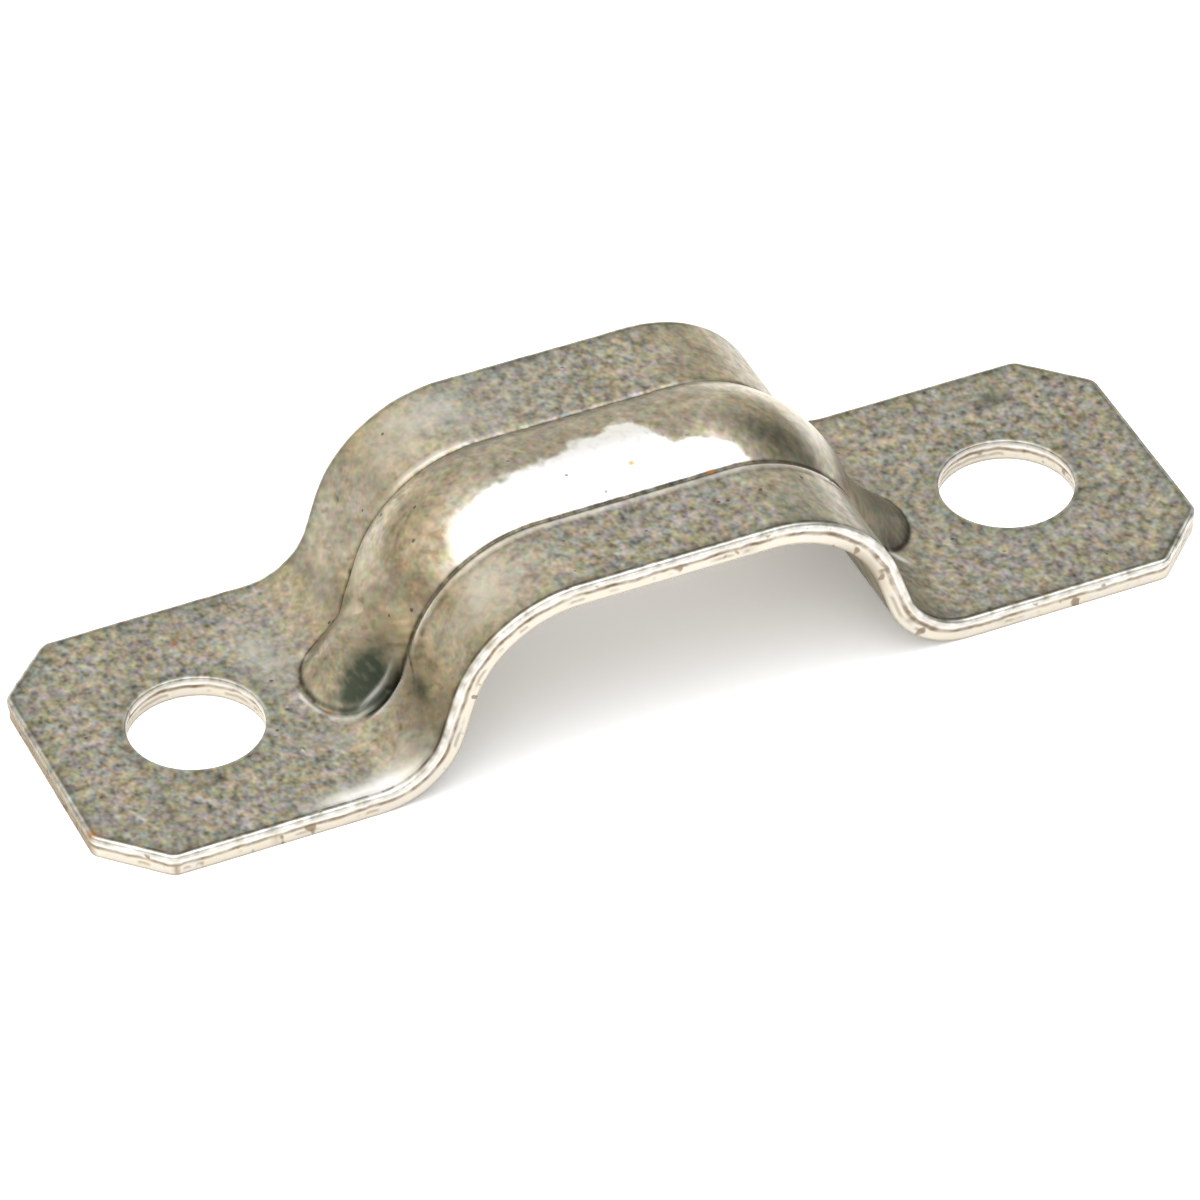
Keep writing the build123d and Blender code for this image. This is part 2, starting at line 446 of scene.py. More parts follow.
# marks of handling, painted shade and painted highlights, on the flat pattern in mm: along, across, half length, half
# width, turn in degrees, strength
wornMarks = {
    # dark smudges, partly painted shade on the left gusset's near side, the right shoulder and the right gusset
    "smudgesAndShade": [(-15.3, -1.95, 1.5, 0.95, 0, 1.7), (-16.9, -2.0, 1.1, 0.9, 0, 1.5), (7.1, -1.7, 1.5, 0.8, -25, 0.7),
                (16.2, -0.6, 2.2, 1.9, 0, 0.6), (26.0, 5.8, 0.9, 0.5, 12, 1.1), (-27.1, -5.1, 0.35, 2.2, 0, 0.45),
                (-14.0, -5.1, 0.55, 0.9, 0, 1.0), (13.5, 3.0, 1.2, 1.2, 0, 0.4)],
    "pits": [(-11.65, 6.2, 0.16, 0.18, 0, 1.0), (-13.6, 3.2, 0.16, 0.14, 0, 1.0), (-1.65, 5.5, 0.15, 0.12, 0, 0.8),
             (-3.8, 6.3, 0.09, 0.2, 0, 0.7), (-1.0, 5.4, 0.12, 0.1, 0, 0.6), (-9.8, 0.3, 0.35, 0.13, 40, 0.7),
             (-8.95, 0.7, 0.3, 0.12, 40, 0.7), (-24.35, -3.88, 0.34, 0.16, -50, 1.0), (-16.1, -5.0, 0.12, 0.1, 0, 0.7),
             (-13.55, -3.72, 0.62, 0.09, 57, 1.0)],
    "specks": [(0.6, -1.7, 0.24, 0.2, 0, 1.0), (3.75, -3.15, 0.18, 0.12, 0, 1.0), (-18.45, -1.8, 0.16, 0.12, 0, 0.9),
               (-22.9, 5.5, 0.35, 0.1, 60, 0.8), (-30.9, -5.0, 0.3, 0.3, 0, 0.6), (27.6, -5.6, 0.12, 0.1, 0, 0.7)],
    # cleaner zinc, partly painted sheen on the shoulders and by the left foot's near edge
    "cleanAndSheen": [(-7.3, 6.0, 2.4, 1.3, 0, 0.75), (-9.6, 4.6, 1.0, 1.2, 0, 0.4), (-3.5, 5.5, 3.0, 2.0, 0, 0.25),
              (-8.8, -5.5, 2.0, 1.6, 0, 0.8), (-15.6, 4.7, 1.2, 1.2, 0, 0.35), (-19.2, -3.4, 1.3, 0.5, -35, 0.5),
              (-18.3, -7.2, 1.9, 0.7, 0, 0.9), (-16.4, -6.4, 1.6, 0.8, 0, 0.4), (-19.6, 3.0, 1.3, 2.4, 0, 0.55),
              (9.4, -1.0, 0.8, 1.6, 0, 0.45), (9.6, -6.4, 1.4, 1.6, 0, 0.3)],
    # painted highlights and a painted reflection, on the left foot's near edge and the right gusset
    "paintedGlint": [(-18.5, -7.55, 2.2, 0.45, 0, 1.2), (17.15, -3.0, 0.5, 0.15, -49, 1.3),
               (-17.9, 1.9, 0.25, 0.3, 0, 0.5)],
    # on the near edge: along and depth in place of along and across; nicks and stains, and a long band of painted shade
    # on the wall's lower part at 11.2
    "edgeMarksAndShade": [(-23.55, 0.5, 0.09, 0.6, 0, 0.8), (15.54, 0.55, 0.22, 0.16, 0, 0.9), (16.74, 0.42, 0.2, 0.13, 0, 0.9),
                  (19.9, 0.45, 0.12, 0.3, 0, 0.7), (-28.1, 0.75, 0.12, 0.4, 0, 0.9), (11.2, 1.05, 2.6, 0.3, 0, 0.75),
                  (-11.5, 0.0, 0.6, 0.12, 0, 0.4), (3.4, 0.75, 0.5, 0.12, 0, 0.5)],
}

# where the finish changes, in mm: a pair is the middle and width of a soft band, or the ends of an eased step
finishZones = {
    "upperPart": 0.3,           # share of the thickness that belongs to the upper side
    # the rib is rubbed bright and carries a painted highlight on the near side of this border, with a ragged edge and a
    # softer painted halo at its left end
    "rubbedHighlightAlong": [-8.6, -8.1, -7.4, -6.0, -4.0, -1.7, 0.4, 1.6, 2.2, 2.9, 4.0, 4.9, 6.2],
    "rubbedHighlightAcross": [-3.3, -1.9, -1.2, -0.6, -0.2, 0.35, 0.9, 1.1, -0.1, -1.2, -1.3, -1.8, -3.4],
    "ragged": [(0.22, 0.7, 21), (0.16, 0.3, 22)],           # height, cell and seed of its noises
    "rubbedHighlightStep": (-0.15, 0.30),
    "rubbedHighlightOffCrease": (0.02, 0.16),
    "haloShare": 0.5, "haloRagged": 2, "haloStep": (-1.3, 0.5), "haloBand": (-8.0, 1.6),
    # by distance from the crease, up the rib
    "ribStep": (-0.05, 0.35),
    # the crease line is darkened by dirt and painted shade; a faint dark line runs outside the near crease
    "creaseAt": 0.01, "creaseWidth": 0.085, "creaseWider": 0.05, "creaseWiderStep": (13, 15),
    "outerLine": (-0.52, 0.06), "outerLineEnd": 12,
    # painted highlight on the lip outside the crease, all along the near side and by the left shoulder on the far side
    "lip": (-0.27, 0.10), "lipLost": 0.85, "lipFade": (12.0, 13.5), "farLipSheen": 1.2, "farLipSheenBand": (-7, 2.5),
    # by distance from the cut edges; the holes' edges have a fainter dark line and less wear
    "holeMargin": 0.5,
    # a dark line just inside the cut edges, strongest along the near side
    "edgeDarkLine": (0.25, 0.08), "darkLineAtHole": 0.2, "farDarkLineLost": 0.55, "farDarkLineStep": (-7.5, -4.5),
    "edgeShade": (0, 0.9),
    "wearStep": (-1.2, -0.7), "wearAtHole": 0.35, "wearElsewhere": 0.9,
    "landFrom": 0.9, "landStep": 0.06, "cutFaceFrom": -0.12, "flatFrom": -0.1,
    "endDepth": 0.2, "endStep": (2.5, 3.2),
    "nearEdge": -7.5,
    # along the bends, and on the fold beside the gusset: painted shade in the fold, painted highlights on its lips
    "shoulderWidth": 3.4, "flankWidth": 2.6, "footBendWidth": 1.9,
    "foldShadeShare": 0.92, "foldShadeWidth": 0.16, "foldLipSheenWidth": 0.09,
    "speckDepth": 0.8,
}


def markField(along, across, marks):
    # sum of soft oval spots: exp(-(u/length)^2 - (v/width)^2) in each mark's own turned axes
    field = np.zeros_like(along)
    for a, c, length, width, turn, strength in marks:
        t = math.radians(turn)
        u = (along - a) * math.cos(t) + (across - c) * math.sin(t)
        v = (across - c) * math.cos(t) - (along - a) * math.sin(t)
        field = field + strength * np.exp(-(u / length) ** 2 - (v / width) ** 2)
    return field


def insideBy(along, across):
    # distance inward from the nearest cut edge, straight edges, cut corners and screw holes alike
    end, half, cut = size["endX"] + size["flatShift"], size["width"] / 2, size["cornerCut"]
    s, y = np.abs(along), np.abs(across)
    hole = np.hypot(s - size["holeX"] - size["flatShift"], y) - size["holeDiameter"] / 2
    corner = (end + half - cut - s - y) / math.sqrt(2)
    return np.minimum(np.minimum(half - y, end - s), np.minimum(corner, hole))


def rubbedHighlightField(along, across, away):
    # rubbed metal with a painted highlight: 1 below the ragged border on the rib, and half as much in the painted halo
    # at its left end, eased off at the crease
    zones = finishZones
    ragged = sum(high * latticeNoise(along, across, *noise) for high, *noise in zones["ragged"])
    below = np.interp(along, zones["rubbedHighlightAlong"], zones["rubbedHighlightAcross"]) - across
    rubbedHighlight = ease(below + ragged, *zones["rubbedHighlightStep"])
    halo = zones["haloShare"] * ease(below + zones["haloRagged"] * ragged, *zones["haloStep"])
    rubbedHighlight = np.maximum(rubbedHighlight, halo * bell(along, *zones["haloBand"]))
    return rubbedHighlight * ease(away, *zones["rubbedHighlightOffCrease"])


def surfaceTraits(flat, away):
    # what the finish needs to know at each point, each a product of soft bands and eased steps
    zones = finishZones
    along, across, depth, outward = flat.T
    s, part, inside = np.abs(along), depth / size["sheet"], insideBy(along, across)
    shoulderMiddle = (size["crownEnd"] + size["flankStart"]) / 2
    flankMiddle = (size["flankStart"] + size["flankEnd"]) / 2
    footMiddle = (size["flankEnd"] + size["footStart"]) / 2
    upper, near = part < zones["upperPart"], across < 0
    fromHole = np.hypot(s - size["holeX"] - size["flatShift"], across)
    hole = fromHole < size["holeDiameter"] / 2 + zones["holeMargin"]
    roll = np.where(hole, edgeCut["holeRoll"], edgeCut["roll"])
    rollEnd = roll + zones["landStep"]
    creaseWidth = zones["creaseWidth"] + zones["creaseWider"] * ease(s, *zones["creaseWiderStep"])
    rolled = ease(outward, zones["wearStep"][0] * roll, zones["wearStep"][1] * roll) * (1 - ease(depth, roll, rollEnd))
    lipFade = 1 - zones["lipLost"] * ease(along, *zones["lipFade"])
    farLipSheen = zones["farLipSheen"] * bell(along, *zones["farLipSheenBand"])
    endFace = s > size["endX"] + size["flatShift"] - zones["endDepth"]
    return {
        "cutFace": ease(depth, roll * zones["landFrom"], rollEnd) * (outward > zones["cutFaceFrom"]),
        "cutDepth": part,
        # dark line just inside the cut edges
        "edgeDarkLine": (bell(inside, *zones["edgeDarkLine"]) * upper * np.where(hole, zones["darkLineAtHole"], 1)
                      * (1 - zones["farDarkLineLost"] * ease(across, *zones["farDarkLineStep"]))),
        "edgeShade": bell(inside, *zones["edgeShade"]) * upper,
        "ribTop": ease(away, *zones["ribStep"]) * upper,
        # the rib's painted highlight, where it is also rubbed
        "rubbedHighlight": rubbedHighlightField(along, across, away) * upper,
        "edgeWear": rolled * np.where(hole, zones["wearAtHole"], zones["wearElsewhere"]),
        # painted glints
        "paintedGlint": markField(along, across, wornMarks["paintedGlint"]) * upper * (outward < zones["flatFrom"]),
        "endFace": endFace * ease(size["width"] / 2 - np.abs(across), *zones["endStep"]),
        # nicks and stains on the near edge, and a painted shade band low on the wall
        "edgeMarkAndShade": markField(along, depth, wornMarks["edgeMarksAndShade"]) * (across < zones["nearEdge"]),
        "crease": bell(away, zones["creaseAt"], creaseWidth) * upper,
        "outerLine": bell(away, *zones["outerLine"]) * upper * near * (s < zones["outerLineEnd"]),
        # the lip's painted highlight
        "lip": bell(away, *zones["lip"]) * upper * lipFade * np.where(near, 1.0, farLipSheen),
        # painted shade in the fold
        "fold": zones["foldShadeShare"] * foldLine(along, across, zones["foldShadeWidth"]) * upper,
        # painted highlights on the fold's lips
        "foldLipSheen": foldLips(along, across, zones["foldLipSheenWidth"]) * upper,
        "shoulder": bell(s, shoulderMiddle, zones["shoulderWidth"]),
        "flank": bell(s, flankMiddle, zones["flankWidth"], 4),
        "footBend": bell(s, footMiddle, zones["footBendWidth"]),
        # dark smudges, partly painted shade
        "smudgeAndShade": markField(along, across, wornMarks["smudgesAndShade"]) * upper,
        # cleaner zinc, partly painted sheen
        "cleanAndSheen": markField(along, across, wornMarks["cleanAndSheen"]) * upper,
        "pit": markField(along, across, wornMarks["pits"]) * upper,
        "rustSpeck": markField(along, across, wornMarks["specks"]) * (part < zones["speckDepth"]),
    }


def makeStrap():
    # all patches on the flat pattern, shared points merged, then bent and pressed into place
    flat, quads, triangles, start = [], [], [], 0
    for points, faceSets in strapPatches():
        flat.append(points)
        for faces in faceSets:
            (quads if faces.shape[1] == 4 else triangles).append(faces + start)
        start += len(points)
    flat = np.vstack(flat)
    rounded = np.round(flat, meshDetail["mergeDigits"])
    _, first, place = np.unique(rounded, axis=0, return_index=True, return_inverse=True)
    flat, place = flat[first], place.ravel()
    quads, triangles = place[np.vstack(quads)], place[np.vstack(triangles)]
    points, away = sheetPoint(*flat[:, :3].T)
    mesh = bpy.data.meshes.new("strapMesh")
    mesh.from_pydata(points * mm, [], quads.tolist() + triangles.tolist())
    bm = bmesh.new()
    bm.from_mesh(mesh)
    bmesh.ops.recalc_face_normals(bm, faces=bm.faces)
    bm.to_mesh(mesh)
    bm.free()
    for name, values in surfaceTraits(flat, away).items():
        mesh.attributes.new(name, "FLOAT", "POINT").data.foreach_set("value", values.astype(np.float32))
    sheetPlace = mesh.attributes.new("sheetPlace", "FLOAT_VECTOR", "POINT")
    sheetPlace.data.foreach_set("vector", flat[:, :3].astype(np.float32).ravel())
    mesh.shade_smooth()
    mesh.set_sharp_from_angle(angle=math.radians(meshDetail["sharpFrom"]))
    strap = bpy.data.objects.new("pressedStrap", mesh)
    bpy.context.scene.collection.objects.link(strap)
    return strap


def addNode(tree, kind, values=None, **settings):
    # a shader node with its settings; each value is a number or another node's output
    made = tree.nodes.new(kind)
    for key, value in settings.items():
        setattr(made, key, value)
    for key, value in (values or {}).items():
        if isinstance(value, bpy.types.NodeSocket):
            tree.links.new(value, made.inputs[key])
        else:
            made.inputs[key].default_value = value
    return made


def calc(tree, operation, *values, clamp=False):
    made = addNode(tree, "ShaderNodeMath", dict(enumerate(values)), operation=operation, use_clamp=clamp)
    return made.outputs[0]


def noise(tree, place, stretch, perMm, detail, shift):
    # noise with the given cells per millimetre, on the sheet's own flat coordinates
    moved = addNode(tree, "ShaderNodeMapping", {"Vector": place, "Location": (shift, shift * 0.7, shift * 0.3),
                                                "Scale": stretch})
    made = addNode(tree, "ShaderNodeTexNoise", {"Vector": moved.outputs[0], "Scale": perMm, "Detail": detail})
    return made.outputs["Fac"]


def between(tree, value, low, high):
    # eased step of a value, 0 at low and 1 at high
    made = addNode(tree, "ShaderNodeMapRange", {"Value": value, "From Min": low, "From Max": high},
                   interpolation_type="SMOOTHSTEP")
    return made.outputs[0]


def linear(tree, value, low, high, first, last):
    # straight line through first at low and last at high, running on past both
    made = addNode(tree, "ShaderNodeMapRange", {"Value": value, "From Min": low, "From Max": high, "To Min": first,
                                                "To Max": last}, clamp=False)
    return made.outputs[0]


def blendColour(tree, share, first, second, way="MIX"):
    made = tree.nodes.new("ShaderNodeMix")
    made.data_type, made.blend_type = "RGBA", way
    sockets = [made.inputs["Factor"], *[i for i in made.inputs if i.type == "RGBA"]]
    for socket, value in zip(sockets, (share, first, second)):
        if isinstance(value, bpy.types.NodeSocket):
            tree.links.new(value, socket)
        else:
            socket.default_value = value
    return [o for o in made.outputs if o.type == "RGBA"][0]


zincFinish = {
    "pinkGrain": (0.301, 0.263, 0.239, 1.0),
    "greenGrain": (0.269, 0.276, 0.229, 1.0),
    "khaki": (1.06, 1.0, 0.80, 1.0),
    "cool": (0.98, 1.0, 1.08, 1.0),
    "brownTint": (1.08, 0.975, 0.76, 1.0),
    # clean zinc, also the colour of painted sheen on patches and on the fold's lips
    "cleanZincAndSheen": (0.47, 0.465, 0.44, 1.0),
    # rubbed zinc, also the colour of the painted highlights on the rib and the glints
    "rubbedHighlightZinc": (0.76, 0.748, 0.725, 1.0),
    # dark colour of dirt in pits and creases, painted shade in creases and the fold, and the dark line inside the cut
    # edges
    "grimeAndShade": (0.065, 0.058, 0.04, 1.0),
    # dark smudges, partly painted shade
    "smudgeAndShade": (0.085, 0.10, 0.074, 1.0),
    "fleck": (0.15, 0.115, 0.07, 1.0),
    # painted shade in the fold
    "foldShade": (0.02, 0.02, 0.015, 1.0),
    "edgeShade": (0.80, 0.84, 0.80, 1.0),
    "rust": (0.36, 0.15, 0.03, 1.0),
    # rolled edges, also the colour of the painted highlights on the lips and glints
    "rolledEdgeAndSheen": (0.72, 0.705, 0.67, 1.0),
    "shearedLand": (0.72, 0.69, 0.66, 1.0),
    "tornSteel": (0.65, 0.615, 0.55, 1.0),
    "cutBrown": (0.235, 0.18, 0.12, 1.0),
    "dullEnd": (0.52, 0.46, 0.36, 1.0),
    # noises on the flat pattern: cells per mm, detail and shift, then a stretch where it isn't the grain's
    "grainStretch": (1.0, 0.78, 1.0),
    "grain": (2.4, 1.3, 0),
    "fine": (5.52, 0.5, 19),
    "hue": (2.28, 1.0, 31),
    "warmth": (2.88, 1.0, 47),
    "patch": (0.75, 2.0, 57),
    "broad": (0.16, 2.0, 83),
    "wearAndSheen": (1.4, 2.0, 64),
    # noise under the dirt and painted shade of the creases and the dark line inside the cut edges
    "dirtAndShade": (1.6, 2.0, 12),
    "pitChance": (0.55, 0.0, 71),
    "streak": (3.0, 2.0, 5, 1, 1, 0.2),
    "waver": (0.8, 2.0, 9, 1, 1, 0.3),
    "broken": (1.2, 3.0, 15, 1, 1, 0.4),
    "spots": (1.5, 1.0, 44, 1, 1, 0.8),
    # and on the flanks, where the press has drawn the grain out, turned by some degrees from the strip
    "drawnStretch": (0.48, 0.95, 1.0),
    "drawnTurn": 54,
    "drawnGrain": (2.4, 1.3, 3),
    "blotches": (0.9, 1.2, 91),
    "flecks": (2.4, 1.0, 7),
    "noiseRange": (0.3, 0.7),       # most of a noise lies in here
    # how strongly each zone counts as bent, and what bending leaves of the grain
    "shoulderBent": 0.75, "footBent": 0.5, "flankBent": 0.7, "ribBent": 0.6,
    "bentGrain": 0.25, "flankFine": 0.4, "blotchStrength": 0.2,
    "grainStrength": 0.37, "fineStrength": 0.16,
    "toneStep": (0.36, 0.64),
    "brownBend": (0.35, 0.6, 1.3, 0.55), "brownRib": 0.35,
    "bentBright": 1.32, "ribBright": 0.5, "patchBright": (0.2, 0.8, 0.84, 1.16), "darkest": 0.25,
    "shadeShare": 0.8, "fleckStep": (0.35, 1.0), "ribFlecks": 0.4, "fleckShare": 0.5,
    # shares of the other tones; a pair follows the noise under them
    "cleanAndSheenShare": (0.4, 1.1), "wearShare": (0.35, 0.65, 0.35, 1.15), "endWear": 0.3, "lipSheenShare": (0.3, 0.8),
    "paintedGlintSpread": (0.7, 1.0), "paintedGlintShare": 0.8, "rubbedHighlightGrain": 0.16,
    "dirtAndShadeStep": (0.36, 0.60), "creaseShare": (0.6, 0.95), "lineShare": (0.15, 0.5), "darkLineShare": (0.45, 0.9),
    "smudgeAndShadeShare": (0.45, 0.95), "smudgeAndShadeGrain": -0.18,
    "pitsPerMm": 0.9, "pitStep": (0.11, 0.06), "chanceStep": (0.56, 0.60), "loosePits": 0.8, "pitShare": 0.85,
    "rustShare": 0.9,
    # cut faces, by depth as a share of the thickness: a brown line where the tear starts, a fainter one below
    "waverShare": (-0.07, 0.07),
    "lineFrom": (0.26, 0.40), "lineTo": (0.60, 0.46), "lineBroken": (0.36, 0.62, 0.38, 0.9),
    "secondFrom": (0.62, 0.72), "secondTo": (0.86, 0.76), "secondBroken": (0.50, 0.60), "secondShare": 0.45,
    "tornFrom": (0.36, 0.50), "streakStep": (0.60, 0.40), "streakShare": 0.25,
    "rimStep": (0.88, 1.0), "rimShare": 0.5, "spotStep": (0.66, 0.73), "spotShare": 0.75, "markShare": 0.85,
    # roughness, and the fine relief
    "roughFlat": 0.40, "roughRib": 0.28, "roughRubbed": 0.20, "roughCut": 0.5, "roughLip": 0.25,
    "roughGrain": -0.05, "roughPatch": (-0.04, 0.04), "roughBend": 0.4, "roughFlank": 0.14, "roughWear": 0.6,
    "lipSmooth": 0.8, "roughDirt": 0.25,
    "plainRubbedHighlight": 0.8, "streakRelief": 3.0, "pitRelief": 3.0, "relief": 0.004,
}


def makeZinc():
    # galvanised sheet: fine coloured grain, rubbed metal with a painted highlight on the rib, painted glints and sheen,
    # dirt and painted shade in creases, painted shade in smudges and the fold, sheared and torn cut edges
    f = zincFinish
    material = bpy.data.materials.new("galvanisedSheet")
    material.use_nodes = True
    tree = material.node_tree
    shader = tree.nodes["Principled BSDF"]
    shader.inputs["Metallic"].default_value = 1.0
    place = addNode(tree, "ShaderNodeAttribute", attribute_name="sheetPlace").outputs["Vector"]
    slant = (0, 0, math.radians(f["drawnTurn"]))
    drawn = addNode(tree, "ShaderNodeMapping", {"Vector": place, "Rotation": slant}).outputs[0]

    def trait(name):
        return addNode(tree, "ShaderNodeAttribute", attribute_name=name).outputs["Fac"]

    def times(*values, clamp=False):
        product = values[0]
        for value in values[1:]:
            product = calc(tree, "MULTIPLY", product, value, clamp=clamp)
        return product

    def plus(a, b, clamp=False):
        return calc(tree, "ADD", a, b, clamp=clamp)

    def most(a, b, clamp=False):
        return calc(tree, "MAXIMUM", a, b, clamp=clamp)

    def sheetNoise(name):
        perMm, detail, shift, *stretch = f[name]
        return noise(tree, place, stretch or f["grainStretch"], perMm, detail, shift)

    def spread(value, first, last):
        # a noise brought to the range from first to last
        return linear(tree, value, *f["noiseRange"], first, last)

    def drawnNoise(name):
        return spread(noise(tree, drawn, f["drawnStretch"], *f[name]), -1, 1)

    def fade(value, first, last):
        # first where the value is 0, last where it is 1
        return linear(tree, value, 0, 1, first, last)

    def step(value, ends):
        return between(tree, value, *ends)

    def toward(first, share, last):
        return addNode(tree, "ShaderNodeMix", {0: share, 2: first, 3: last}, data_type="FLOAT").outputs[0]

    def paint(under, share, over):
        return blendColour(tree, share, under, over)

    def tint(colour, by):
        return blendColour(tree, 1.0, colour, by, "MULTIPLY")

    # masks for the painted glints and the fold's painted shade, with flank and rib
    flank, rib, paintedGlint, fold = trait("flank"), trait("ribTop"), trait("paintedGlint"), trait("fold")
    evenGrain = spread(sheetNoise("grain"), -1, 1)
    grain = toward(evenGrain, flank, drawnNoise("drawnGrain"))
    fine = times(spread(sheetNoise("fine"), -1, 1), fade(flank, 1, f["flankFine"]))
    patch = sheetNoise("patch")
    bend = most(times(trait("shoulder"), f["shoulderBent"]), times(trait("footBend"), f["footBent"]))
    bend = most(bend, times(flank, f["flankBent"]))
    grainShare = fade(most(bend, times(rib, f["ribBent"])), 1.0, f["bentGrain"])
    blotch = times(drawnNoise("blotches"), bend, f["blotchStrength"])

    # colour of the coating
    colour = paint(f["greenGrain"], step(sheetNoise("hue"), f["toneStep"]), f["pinkGrain"])
    warm = paint(f["cool"], step(sheetNoise("warmth"), f["toneStep"]), f["khaki"])
    colour = paint(colour, grainShare, tint(colour, warm))
    brownBend = times(linear(tree, sheetNoise("broad"), *f["brownBend"]), bend, clamp=True)
    colour = paint(colour, most(brownBend, times(rib, f["brownRib"])), tint(colour, f["brownTint"]))
    light = plus(times(grain, f["grainStrength"]), times(fine, f["fineStrength"]))
    light = plus(calc(tree, "MULTIPLY_ADD", light, grainShare, 1.0), blotch)
    light = times(light, fade(most(bend, times(rib, f["ribBright"])), 1.0, f["bentBright"]))
    light = most(times(light, linear(tree, patch, *f["patchBright"])), f["darkest"])
    lightGrey = addNode(tree, "ShaderNodeCombineColor", {0: light, 1: light, 2: light}).outputs[0]
    colour = tint(colour, lightGrey)
    colour = paint(colour, times(trait("edgeShade"), f["shadeShare"]), tint(colour, f["edgeShade"]))
    flecks = times(step(drawnNoise("flecks"), f["fleckStep"]), most(bend, times(rib, f["ribFlecks"])))
    colour = paint(colour, times(flecks, f["fleckShare"]), f["fleck"])

    # cleaner, brighter zinc: loose patches that are partly painted sheen, the rolled edges with painted highlights on
    # the lips and glints, and the rib where it was rubbed, with its painted highlight
    # cleaner zinc, partly painted sheen
    colour = paint(colour, times(trait("cleanAndSheen"), spread(patch, *f["cleanAndSheenShare"]), clamp=True), f["cleanZincAndSheen"])
    edgeWear = trait("edgeWear")
    wearAndSheen = times(edgeWear, linear(tree, sheetNoise("wearAndSheen"), *f["wearShare"]))
    wearAndSheen = times(wearAndSheen, fade(trait("endFace"), 1, f["endWear"]), clamp=True)
    # the lips' and the glints' painted highlights join the edge wear here
    wearAndSheen = most(wearAndSheen, times(trait("lip"), spread(patch, *f["lipSheenShare"])))
    wearAndSheen = most(wearAndSheen, times(paintedGlint, spread(patch, *f["paintedGlintSpread"])), clamp=True)
    colour = paint(colour, wearAndSheen, f["rolledEdgeAndSheen"])
    # painted glints
    colour = paint(colour, times(paintedGlint, f["paintedGlintShare"], clamp=True), f["rubbedHighlightZinc"])
    # painted highlight on the rib, where it is also rubbed bright
    rubbedHighlight = plus(trait("rubbedHighlight"), times(trait("rubbedHighlight"), evenGrain, f["rubbedHighlightGrain"]), clamp=True)
    colour = paint(colour, rubbedHighlight, f["rubbedHighlightZinc"])

    # dirt and painted shade in the creases, a faint dark line outside the near crease, a dark line just inside the cut
    # edges, dark smudges that are partly painted shade, pits, painted highlights on the fold's lips and painted shade
    # in the fold, a few rusty specks
    dirtAndShade = step(sheetNoise("dirtAndShade"), f["dirtAndShadeStep"])
    # dirt and painted shade in the creases, a faint dark line outside the near crease, and the fold's painted shade
    crease = times(trait("crease"), fade(dirtAndShade, *f["creaseShare"]))
    crease = most(crease, times(trait("outerLine"), fade(dirtAndShade, *f["lineShare"])))
    crease = calc(tree, "SUBTRACT", most(crease, fold), paintedGlint, clamp=True)
    colour = paint(colour, crease, f["grimeAndShade"])
    # dark line just inside the cut edges, strongest along the near side
    colour = paint(colour, times(trait("edgeDarkLine"), fade(dirtAndShade, *f["darkLineShare"])), f["grimeAndShade"])
    # dark smudges, partly painted shade
    smudgeAndShade = times(trait("smudgeAndShade"), spread(patch, *f["smudgeAndShadeShare"]), clamp=True)
    smudgeAndShade = calc(tree, "MULTIPLY_ADD", times(smudgeAndShade, evenGrain), f["smudgeAndShadeGrain"], smudgeAndShade, clamp=True)
    colour = paint(colour, smudgeAndShade, f["smudgeAndShade"])
    pits = addNode(tree, "ShaderNodeTexVoronoi", {"Vector": place, "Scale": f["pitsPerMm"]}).outputs["Distance"]
    chance = step(sheetNoise("pitChance"), f["chanceStep"])
    pit = plus(trait("pit"), times(step(pits, f["pitStep"]), chance, f["loosePits"]), clamp=True)
    pit = times(pit, fade(edgeWear, 1, 0))
    colour = paint(colour, times(pit, f["pitShare"]), f["grimeAndShade"])
    # painted highlights on the fold's lips, then painted shade in the fold
    colour = paint(colour, trait("foldLipSheen"), f["cleanZincAndSheen"])
    colour = paint(colour, fold, f["foldShade"])
    colour = paint(colour, times(trait("rustSpeck"), f["rustShare"], clamp=True), f["rust"])

    # cut faces: bright sheared land, a soft broken brown line where the tear starts, paler torn part, dark lower rim
    cutDepth, streak, waver = trait("cutDepth"), sheetNoise("streak"), sheetNoise("waver")
    level = plus(cutDepth, spread(waver, *f["waverShare"]))
    line = times(step(level, f["lineFrom"]), step(level, f["lineTo"]))
    line = times(line, linear(tree, sheetNoise("broken"), *f["lineBroken"]))
    second = times(step(level, f["secondFrom"]), step(level, f["secondTo"]), step(waver, f["secondBroken"]))
    second = times(second, f["secondShare"])
    cut = paint(f["shearedLand"], step(level, f["tornFrom"]), f["tornSteel"])
    cut = paint(cut, times(step(streak, f["streakStep"]), f["streakShare"]), tint(cut, f["khaki"]))
    cut = paint(cut, most(line, second), f["cutBrown"])
    cut = paint(cut, times(step(cutDepth, f["rimStep"]), f["rimShare"]), f["cutBrown"])
    cut = paint(cut, times(step(sheetNoise("spots"), f["spotStep"]), f["spotShare"]), f["cutBrown"])
    cut = paint(cut, trait("endFace"), tint(cut, f["dullEnd"]))
    # nicks and stains on the near edge, and a painted shade band low on the wall
    cut = paint(cut, times(trait("edgeMarkAndShade"), f["markShare"], clamp=True), f["cutBrown"])
    cutFace = trait("cutFace")
    tree.links.new(paint(colour, cutFace, cut), shader.inputs["Base Color"])

